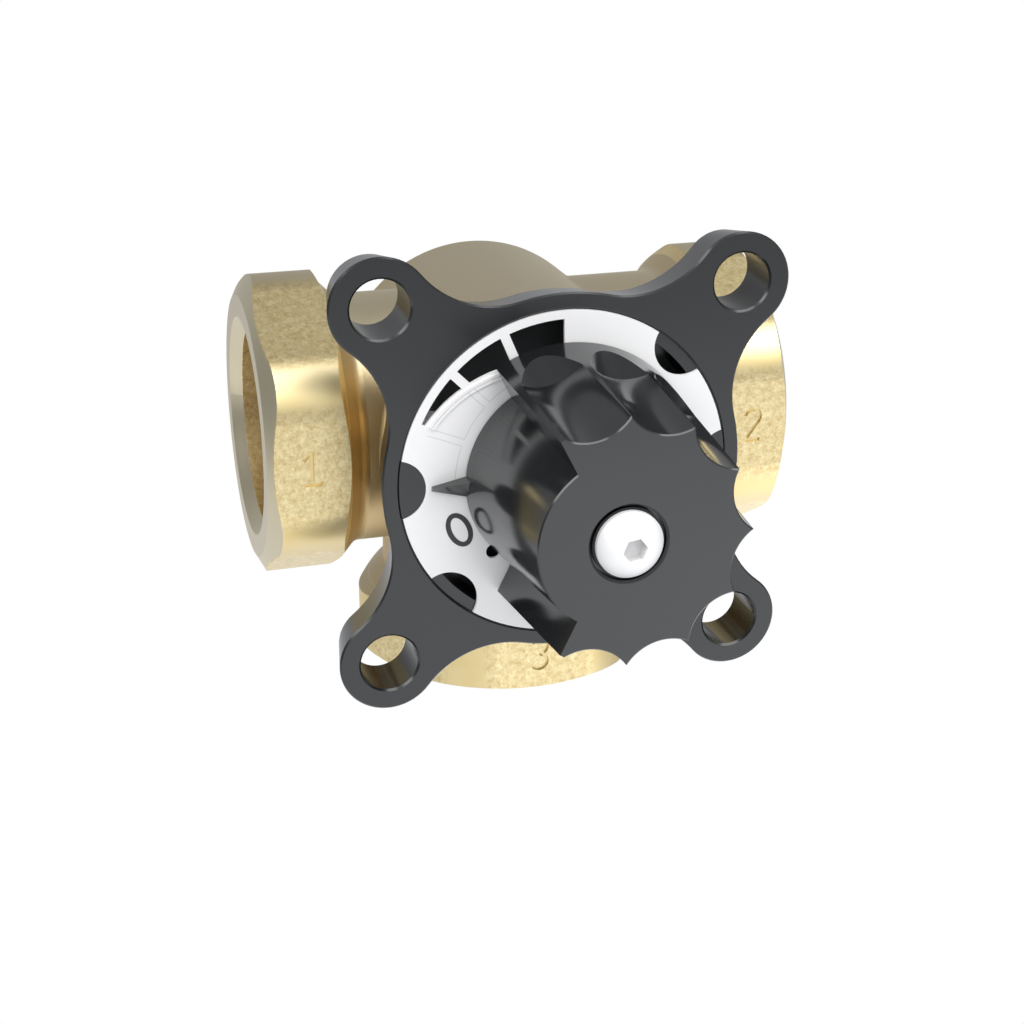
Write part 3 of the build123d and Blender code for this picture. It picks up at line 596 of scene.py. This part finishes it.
@dataclass(frozen=True)
class TurnedMetal:
    """Turned or plated metal with fine marks around or along the stem."""

    name: str
    colour: str
    roughness: float
    marks: Machined = Machined.AROUND_STEM
    # The marks of the turning tool's feed
    mark_mm: float = 1 / 30
    mark_depth_mm: float = 0.003
    cloud: Pattern = Pattern(2.5)
    shade: float = 0.1
    metallic: float = 1.0
    socket_painted_shade: str = ""
    socket_radius: float = 0.0023
    socket_mouth: float = -0.0427

    def build(self) -> bpy.types.Material:
        """Build the metal, with painted shade in its socket where it has one.

        Returns:
            The material.
        """
        material = blank_material(self.name)
        tree = material.node_tree
        where = add_node(tree, "TexCoord").outputs["Object"]
        x, along, z = add_node(tree, "SeparateXYZ", (where,)).outputs
        radius = radius_about(tree, (x, z), (0.0, AXIS_Z))
        track = radius if self.marks is Machined.AROUND_STEM else along
        mark_inputs = {"W": track, "Scale": 1 / (self.mark_mm * MM), "Detail": 2.0}
        marks = add_node(tree, "TexNoise", mark_inputs, noise_dimensions="1D")
        base = linear(self.colour)
        cloud = add_node(tree, "TexNoise", self.cloud.at(where))
        ends = {COLOUR_A: darkened(base, self.shade), COLOUR_B: base}
        colour = add_node(tree, "Mix", {0: cloud, **ends}, data_type="RGBA")
        # Painted shade: the socket is coloured grey
        if self.socket_painted_shade:
            narrow = add_node(tree, "Math", (radius, self.socket_radius), operation="LESS_THAN")
            deep = add_node(tree, "Math", (along, self.socket_mouth), operation="GREATER_THAN")
            in_socket = add_node(tree, "Math", (narrow, deep), operation="MULTIPLY")
            ends = {COLOUR_A: colour, COLOUR_B: linear(self.socket_painted_shade)}
            colour = add_node(tree, "Mix", {0: in_socket, **ends}, data_type="RGBA")
        surface = {
            "Base Color": colour,
            "Roughness": self.roughness,
            "Normal": add_node(tree, "Bump", {"Height": marks, "Distance": self.mark_depth_mm * MM}),
            "Metallic": self.metallic,
        }
        add_node(tree, "OutputMaterial", {"Surface": add_node(tree, "BsdfPrincipled", surface)})
        return material


Finish = CastBrass | Plastic | ScalePlastic | TurnedMetal

# Cast brass: blasted flats are mottled and grainy, the polished rest shines softly
BRASS = CastBrass()
# Moulded black polyamide of the cover: a satin sheen, with painted light making the shaded recess paler
COVER_PLASTIC = Plastic(
    "cover_plastic", "#1e2021", 0.22, grain_depth_mm=0.0003, specular=0.7, recess_painted_light="#3e4041"
)
# Moulded black polyamide of the knob: glossy, so the flutes show sharp highlights
KNOB_PLASTIC = Plastic("knob_plastic", "#1f2122", 0.14, grain_depth_mm=0.0003, specular=0.76)
# Moulded white acetal: a half-gloss scale with fine grooves
DISC_PLASTIC = ScalePlastic("disc_plastic", "#f6f6f6", "#d8d8d8", 0.3)
# Printing ink: dark and nearly matt
SCALE_INK = Plastic("scale_ink", "#3a3b3c", 0.4)
# Bright zinc plating on steel: pale and soft, with little mirror, and painted shade greying its socket
PLATED_STEEL = TurnedMetal("plated_steel", "#ffffff", 0.45, metallic=0.15, socket_painted_shade="#e2e2e2")
# Blackened steel: dark with a metal's sheen
BLACK_STEEL = TurnedMetal("black_steel", "#3c3c3e", 0.35)
# Turned stainless steel: bright, with marks that run around it
STAINLESS = TurnedMetal("stainless", "#c8c8ca", 0.25, Machined.ALONG_STEM)
# Machined brass: bright and yellow
ROTOR_BRASS = TurnedMetal("rotor_brass", "#d8b66a", 0.3)
# Moulded plastic of the adapter: pale grey and satin
ADAPTER_PLASTIC = Plastic("adapter_plastic", "#c9c9c6", 0.4)
# Machined bearing plastic: cream and half matt
BUSH_PLASTIC = Plastic("bush_plastic", "#ded8c8", 0.5)
# Moulded rubber: black and matt
SEAL_RUBBER = Plastic("seal_rubber", "#1c1c1c", 0.6, grain=Pattern(0.2))


@functools.cache
def material_of(finish: Finish) -> bpy.types.Material:
    """Return the finish's material, built when it's first asked for."""
    return finish.build()


@dataclass(frozen=True)
class SubAssembly:
    """CAD pieces that are fitted together, each with its finish."""

    name: str
    finishes: dict[str, Finish]

    def dress(self) -> None:
        """Give each CAD piece its finish and report it."""
        for piece, finish in self.finishes.items():
            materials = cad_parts[piece].data.materials
            materials.clear()
            materials.append(material_of(finish))
            log.info("%s, %s: %s", self.name, piece, finish.name)


VALVE_BODY = SubAssembly("body", {"valve_body": BRASS, "rear_bush": BUSH_PLASTIC})
COVER = SubAssembly(
    "cover",
    {
        "front_cover": COVER_PLASTIC,
        "front_bush": BUSH_PLASTIC,
        "cover_seal": SEAL_RUBBER,
        "cover_screw_1": PLATED_STEEL,
        "cover_screw_2": PLATED_STEEL,
        "cover_screw_3": PLATED_STEEL,
        "cover_screw_4": PLATED_STEEL,
        "thrust_washer": BUSH_PLASTIC,
        "scale_disc": DISC_PLASTIC,
    },
)
SPINDLE = SubAssembly(
    "spindle",
    {
        "stem": STAINLESS,
        "stem_seal_inner": SEAL_RUBBER,
        "stem_seal_outer": SEAL_RUBBER,
        "retaining_clip": BLACK_STEEL,
        "rotor": ROTOR_BRASS,
        "rotor_pin": STAINLESS,
    },
)
HANDLE = SubAssembly(
    "handle",
    {
        "knob": KNOB_PLASTIC,
        "knob_screw": PLATED_STEEL,
        "knob_washer": BLACK_STEEL,
        "knob_adapter": ADAPTER_PLASTIC,
    },
)


def start_piece() -> None:
    """Leave edit mode with nothing selected, ready for the next piece."""
    if bpy.context.object is not None and bpy.context.object.mode != "OBJECT":
        bpy.ops.object.mode_set(mode="OBJECT")
    bpy.ops.object.select_all(action="DESELECT")


def end_piece(name: str, finish: Finish, body: str) -> bpy.types.Object:
    """Clean the piece in edit mode, then name, finish and attach it.

    Args:
        name: The piece's name.
        finish: What it's made of.
        body: The CAD body that it rides on.

    Returns:
        The piece, with an identity transform.
    """
    bpy.ops.mesh.select_all(action="SELECT")
    bpy.ops.mesh.remove_doubles(threshold=0.001 * MM)
    bpy.ops.mesh.normals_make_consistent(inside=False)
    bpy.ops.object.mode_set(mode="OBJECT")
    bpy.ops.object.transform_apply(location=True, rotation=True, scale=True)
    bpy.ops.object.shade_smooth_by_angle(angle=math.radians(35))
    piece = bpy.context.object
    piece.name = name
    piece.data.materials.append(material_of(finish))
    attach(piece, body)
    log.info("%s: %d faces", name, len(piece.data.polygons))
    return piece


@dataclass(frozen=True)
class ScaleNumeral:
    """Printed 0 at the start of the scale."""

    distance: float = 0.0173
    direction: float = 203.5
    lean: float = 25.0
    width: float = 0.0036
    height: float = 0.0056
    stroke: float = 0.00075
    thickness: float = 0.00004
    sunk: float = 0.00003
    points: int = 72
    body: str = "valve"

    def build(self) -> bpy.types.Object:
        """Model the numeral: a flat ring, narrowed to an oval, on the face of the disc.

        Returns:
            The numeral.
        """
        angle = math.radians(self.direction)
        x = self.distance * math.cos(angle)
        z = AXIS_Z + self.distance * math.sin(angle)
        middle = Vector((x, COVER_Y + self.sunk, z))
        start_piece()
        bpy.ops.mesh.primitive_circle_add(
            vertices=self.points,
            radius=0.5,
            fill_type="NOTHING",
            location=middle,
            rotation=(math.radians(90), 0, 0),
        )
        ring = bpy.context.object
        ring.scale = (self.width, self.height, 1)
        bpy.ops.object.transform_apply(location=False, rotation=True, scale=True)
        ring.rotation_euler = (0, -math.radians(self.lean), 0)
        bpy.ops.object.transform_apply(location=False, rotation=False, scale=True)
        bpy.ops.object.mode_set(mode="EDIT")
        bpy.ops.mesh.select_all(action="SELECT")
        bpy.ops.mesh.extrude_region_move()
        narrow = (1 - 2 * self.stroke / self.width, 1, 1 - 2 * self.stroke / self.height)
        bpy.ops.transform.resize(value=narrow, orient_type="LOCAL", center_override=middle)
        bpy.ops.mesh.select_all(action="SELECT")
        out = (0, -self.thickness - self.sunk, 0)
        bpy.ops.mesh.extrude_region_move(TRANSFORM_OT_translate={"value": out})
        return end_piece("scale_numeral", SCALE_INK, self.body)


@dataclass(frozen=True)
class WindowRim:
    """Raised rim along the inner edge of the window, in two bands."""

    middle: Span = (-0.00529, -0.00178)
    radii: tuple[float, ...] = (0.0182, 0.01765)
    width: float = 0.00042
    height: float = 0.0002
    sunk: float = 0.00005
    start: float = 78.0
    span: float = 66.0
    steps: int = 40
    body: str = "valve"

    def band(self, number: int, radius: float) -> bpy.types.Object:
        """Model one band: a small rectangle spun along the window's edge.

        Args:
            number: The band's place in the name.
            radius: Its distance from the middle of the window's arc.

        Returns:
            The band.
        """
        angle = math.radians(self.start)
        centre = Vector((self.middle[0], 0, AXIS_Z + self.middle[1]))
        out = Vector((math.cos(angle), 0, math.sin(angle)))
        deep = Vector((0, COVER_Y + (self.sunk - self.height) / 2, 0))
        start_piece()
        place = centre + out * radius + deep
        bpy.ops.mesh.primitive_plane_add(size=1, location=place, rotation=(0, -angle, 0))
        bpy.context.object.scale = (self.width, self.height + self.sunk, 1)
        bpy.ops.object.transform_apply(location=True, rotation=True, scale=True)
        bpy.ops.object.mode_set(mode="EDIT")
        bpy.ops.mesh.select_all(action="SELECT")
        bpy.ops.mesh.spin(steps=self.steps, angle=math.radians(self.span), center=centre, axis=(0, 1, 0))
        return end_piece(f"window_rim_{number}", DISC_PLASTIC, self.body)

    def build(self) -> list[bpy.types.Object]:
        """Return both bands."""
        return [self.band(number, radius) for number, radius in enumerate(self.radii, start=1)]


def direction_from(azimuth: float, elevation: float) -> Vector:
    """Return the unit vector from the valve towards a place around it, given in degrees."""
    az, el = math.radians(azimuth), math.radians(elevation)
    return Vector((math.sin(az) * math.cos(el), -math.cos(az) * math.cos(el), math.sin(el)))


@dataclass(frozen=True)
class Lamp:
    """A plain area lamp aimed at the valve."""

    name: str
    azimuth: float
    elevation: float
    distance: float
    size: float
    power: float

    def build(self) -> bpy.types.Object:
        """Place the lamp on a sphere about the valve's middle.

        Returns:
            The lamp.
        """
        data = bpy.data.lights.new(self.name, "AREA")
        data.energy = self.power
        data.size = self.size
        lamp = bpy.data.objects.new(self.name, data)
        bpy.context.collection.objects.link(lamp)
        away = direction_from(self.azimuth, self.elevation)
        lamp.location = Vector((0, PORT_Y, AXIS_Z)) + away * self.distance
        lamp.rotation_euler = away.to_track_quat("Z", "Y").to_euler()
        return lamp


KEY_LAMP = Lamp("key", azimuth=30, elevation=53, distance=0.9, size=0.75, power=5.0)
SIDE_LAMP = Lamp("side", azimuth=-56, elevation=36, distance=0.9, size=0.45, power=2.0)


@dataclass(frozen=True)
class Studio:
    """Camera, world and lamps as in the photo.

    Each span is where one share of the surroundings begins and where it is full, as a part of the
    direction's X, Y or Z. Each pair of greys is a Z and the grey seen there.
    """

    azimuth: float = -16.677
    elevation: float = 19.071
    distance: float = 0.263985
    across: float = 0.005612
    up: float = -0.006505
    focal_px: float = 1829.2
    middle_px: Span = (526.3, 428.5)
    image_px: float = 1024.0
    sensor_mm: float = 36.0
    nearest: float = 0.01
    brightest: float = 1.6
    low_tint: str = "#fbfcff"
    high_tint: str = "#ffffff"
    rear_span: Span = (-0.25, 0.25)
    left_span: Span = (-0.6, -0.9)
    left_low_span: Span = (-0.4, -0.1)
    left_shade: float = 0.5
    right_span: Span = (0.05, 0.45)
    right_gain: float = 0.3
    far_right_span: Span = (0.55, 0.8)
    far_right_loss: float = 0.4
    above_span: Span = (-0.1, 0.1)
    floor_span: Span = (-0.38, -0.55)
    floor_loss: float = 0.3
    tint_span: Span = (0.1, 0.9)
    front_greys: tuple[Span, ...] = (
        (-1.0, 0.84), (-0.6, 0.84), (-0.42, 0.83), (-0.34, 0.76), (-0.25, 0.3), (-0.18, 0.23), (0.0, 0.3),
        (0.3, 0.56), (0.6, 0.74), (0.88, 0.64), (1.0, 0.22),
    )
    rear_greys: tuple[Span, ...] = (
        (-1.0, 0.8), (-0.55, 0.72), (-0.33, 0.4), (-0.1, 0.32), (0.2, 0.27), (0.45, 0.26), (0.7, 0.22),
        (0.9, 0.2), (1.0, 0.25),
    )

    def camera(self) -> bpy.types.Object:
        """Place the camera as in the photo.

        Returns:
            The camera.
        """
        az = math.radians(self.azimuth)
        back = direction_from(self.azimuth, self.elevation)
        right = Vector((math.cos(az), math.sin(az), 0))
        up = back.cross(right)
        data = bpy.data.cameras.new("camera")
        data.sensor_width = self.sensor_mm
        data.lens = self.focal_px * self.sensor_mm / self.image_px
        data.shift_x = (self.image_px / 2 - self.middle_px[0]) / self.image_px
        data.shift_y = (self.middle_px[1] - self.image_px / 2) / self.image_px
        data.clip_start = self.nearest
        data.dof.use_dof = False
        camera = bpy.data.objects.new("camera", data)
        bpy.context.collection.objects.link(camera)
        plate = Vector((0, COVER_Y, AXIS_Z))
        place = plate - right * self.across - up * self.up + back * self.distance
        camera.matrix_world = Matrix.Translation(place) @ Matrix((right, up, back)).transposed().to_4x4()
        return camera

    def greys(self, tree: Tree, height: Socket, stops: tuple[Span, ...]) -> Node:
        """Follow a height between -1 and 1 with greys.

        Args:
            tree: The world's node tree.
            height: The socket that gives the height.
            stops: Pairs of height and grey, in rising order.

        Returns:
            The node that gives the grey.
        """
        place = add_node(tree, "MapRange", (height, -1.0, 1.0))
        ramp = add_node(tree, "ValToRGB", (place,))
        elements = ramp.color_ramp.elements
        for element, (_, grey) in ((elements[0], stops[0]), (elements[1], stops[-1])):
            element.color = (grey, grey, grey, 1.0)
        for level, grey in stops[1:-1]:
            elements.new((level + 1) / 2).color = (grey, grey, grey, 1.0)
        return ramp

    def surroundings(self, tree: Tree, x: Socket, y: Socket, z: Socket) -> Node:
        """Colour the surroundings: greys in front and behind, with a shade on the left.

        Args:
            tree: The world's node tree.
            x: The direction's part to the right.
            y: The direction's part to the rear.
            z: The direction's part upwards.

        Returns:
            The node that gives the colour.
        """
        front = self.greys(tree, z, self.front_greys)
        rear = self.greys(tree, z, self.rear_greys)
        behind = add_node(tree, "MapRange", (y, *self.rear_span))
        around = add_node(tree, "Mix", {0: behind, COLOUR_A: front, COLOUR_B: rear}, data_type="RGBA")
        left = add_node(tree, "MapRange", (x, *self.left_span))
        above_floor = add_node(tree, "MapRange", (z, *self.left_low_span))
        left = add_node(tree, "Math", (left, above_floor), operation="MULTIPLY")
        shade = add_node(tree, "Math", (left, self.left_shade), operation="MULTIPLY")
        around = add_node(tree, "Mix", {0: shade, COLOUR_A: around, COLOUR_B: BLACK}, data_type="RGBA")
        rise = add_node(tree, "MapRange", (z, *self.tint_span))
        ends = {COLOUR_A: linear(self.low_tint), COLOUR_B: linear(self.high_tint)}
        tint = add_node(tree, "Mix", {0: rise, **ends}, data_type="RGBA")
        both = {0: 1.0, COLOUR_A: around, COLOUR_B: tint}
        return add_node(tree, "Mix", both, data_type="RGBA", blend_type="MULTIPLY")

    def strength(self, tree: Tree, x: Socket, z: Socket) -> Node:
        """Weigh the surroundings: brighter on the right, dimmer far right and on the floor.

        Args:
            tree: The world's node tree.
            x: The direction's part to the right.
            z: The direction's part upwards.

        Returns:
            The node that gives the strength.
        """
        right = add_node(tree, "MapRange", (x, *self.right_span))
        far_right = add_node(tree, "MapRange", (x, *self.far_right_span))
        above = add_node(tree, "MapRange", (z, *self.above_span))
        floor = add_node(tree, "MapRange", (z, *self.floor_span))
        spared = add_node(tree, "Math", (far_right, above), operation="MAXIMUM")
        glowing = add_node(tree, "Math", (1.0, spared), operation="SUBTRACT")
        glow = add_node(tree, "Math", (right, glowing), operation="MULTIPLY")
        glow = add_node(tree, "Math", (glow, self.right_gain), operation="MULTIPLY")
        gain = add_node(tree, "Math", (1.0, glow), operation="ADD")
        far_loss = add_node(tree, "Math", (far_right, self.far_right_loss), operation="MULTIPLY")
        gain = add_node(tree, "Math", (gain, far_loss), operation="SUBTRACT")
        not_right = add_node(tree, "Math", (1.0, right), operation="SUBTRACT")
        away = add_node(tree, "Math", (floor, not_right), operation="MULTIPLY")
        floor_loss = add_node(tree, "Math", (away, self.floor_loss), operation="MULTIPLY")
        kept = add_node(tree, "Math", (1.0, floor_loss), operation="SUBTRACT")
        level = add_node(tree, "Math", (gain, kept), operation="MULTIPLY")
        return add_node(tree, "Math", (level, self.brightest), operation="MULTIPLY")

    def world(self) -> None:
        """Surround the valve with a studio that the camera sees as white."""
        world = bpy.data.worlds.new("studio")
        world.use_nodes = True
        tree = world.node_tree
        tree.nodes.clear()
        direction = add_node(tree, "TexCoord").outputs["Generated"]
        x, y, z = add_node(tree, "SeparateXYZ", (direction,)).outputs
        studio = {"Color": self.surroundings(tree, x, y, z), "Strength": self.strength(tree, x, z)}
        sky = add_node(tree, "Background", studio)
        white = add_node(tree, "Background", {"Color": WHITE, "Strength": 1.0})
        rays = add_node(tree, "LightPath").outputs
        through = (rays["Is Camera Ray"], rays["Is Transmission Ray"])
        seen = add_node(tree, "Math", through, operation="MAXIMUM")
        mix = add_node(tree, "MixShader", (seen, sky, white))
        add_node(tree, "OutputWorld", {"Surface": mix})
        bpy.context.scene.world = world

    def build(self) -> None:
        """Set up the camera, the surroundings and the lamps."""
        scene = bpy.context.scene
        scene.camera = self.camera()
        scene.view_settings.view_transform = "Standard"
        self.world()
        for lamp in (KEY_LAMP, SIDE_LAMP):
            lamp.build()


def main() -> None:
    """Build the looks and report each piece."""
    for sub_assembly in (VALVE_BODY, COVER, SPINDLE, HANDLE):
        sub_assembly.dress()
    ScaleNumeral().build()
    WindowRim().build()
    Studio().build()
    log.info("camera, surroundings and lamps")


if __name__ == "__main__":
    main()
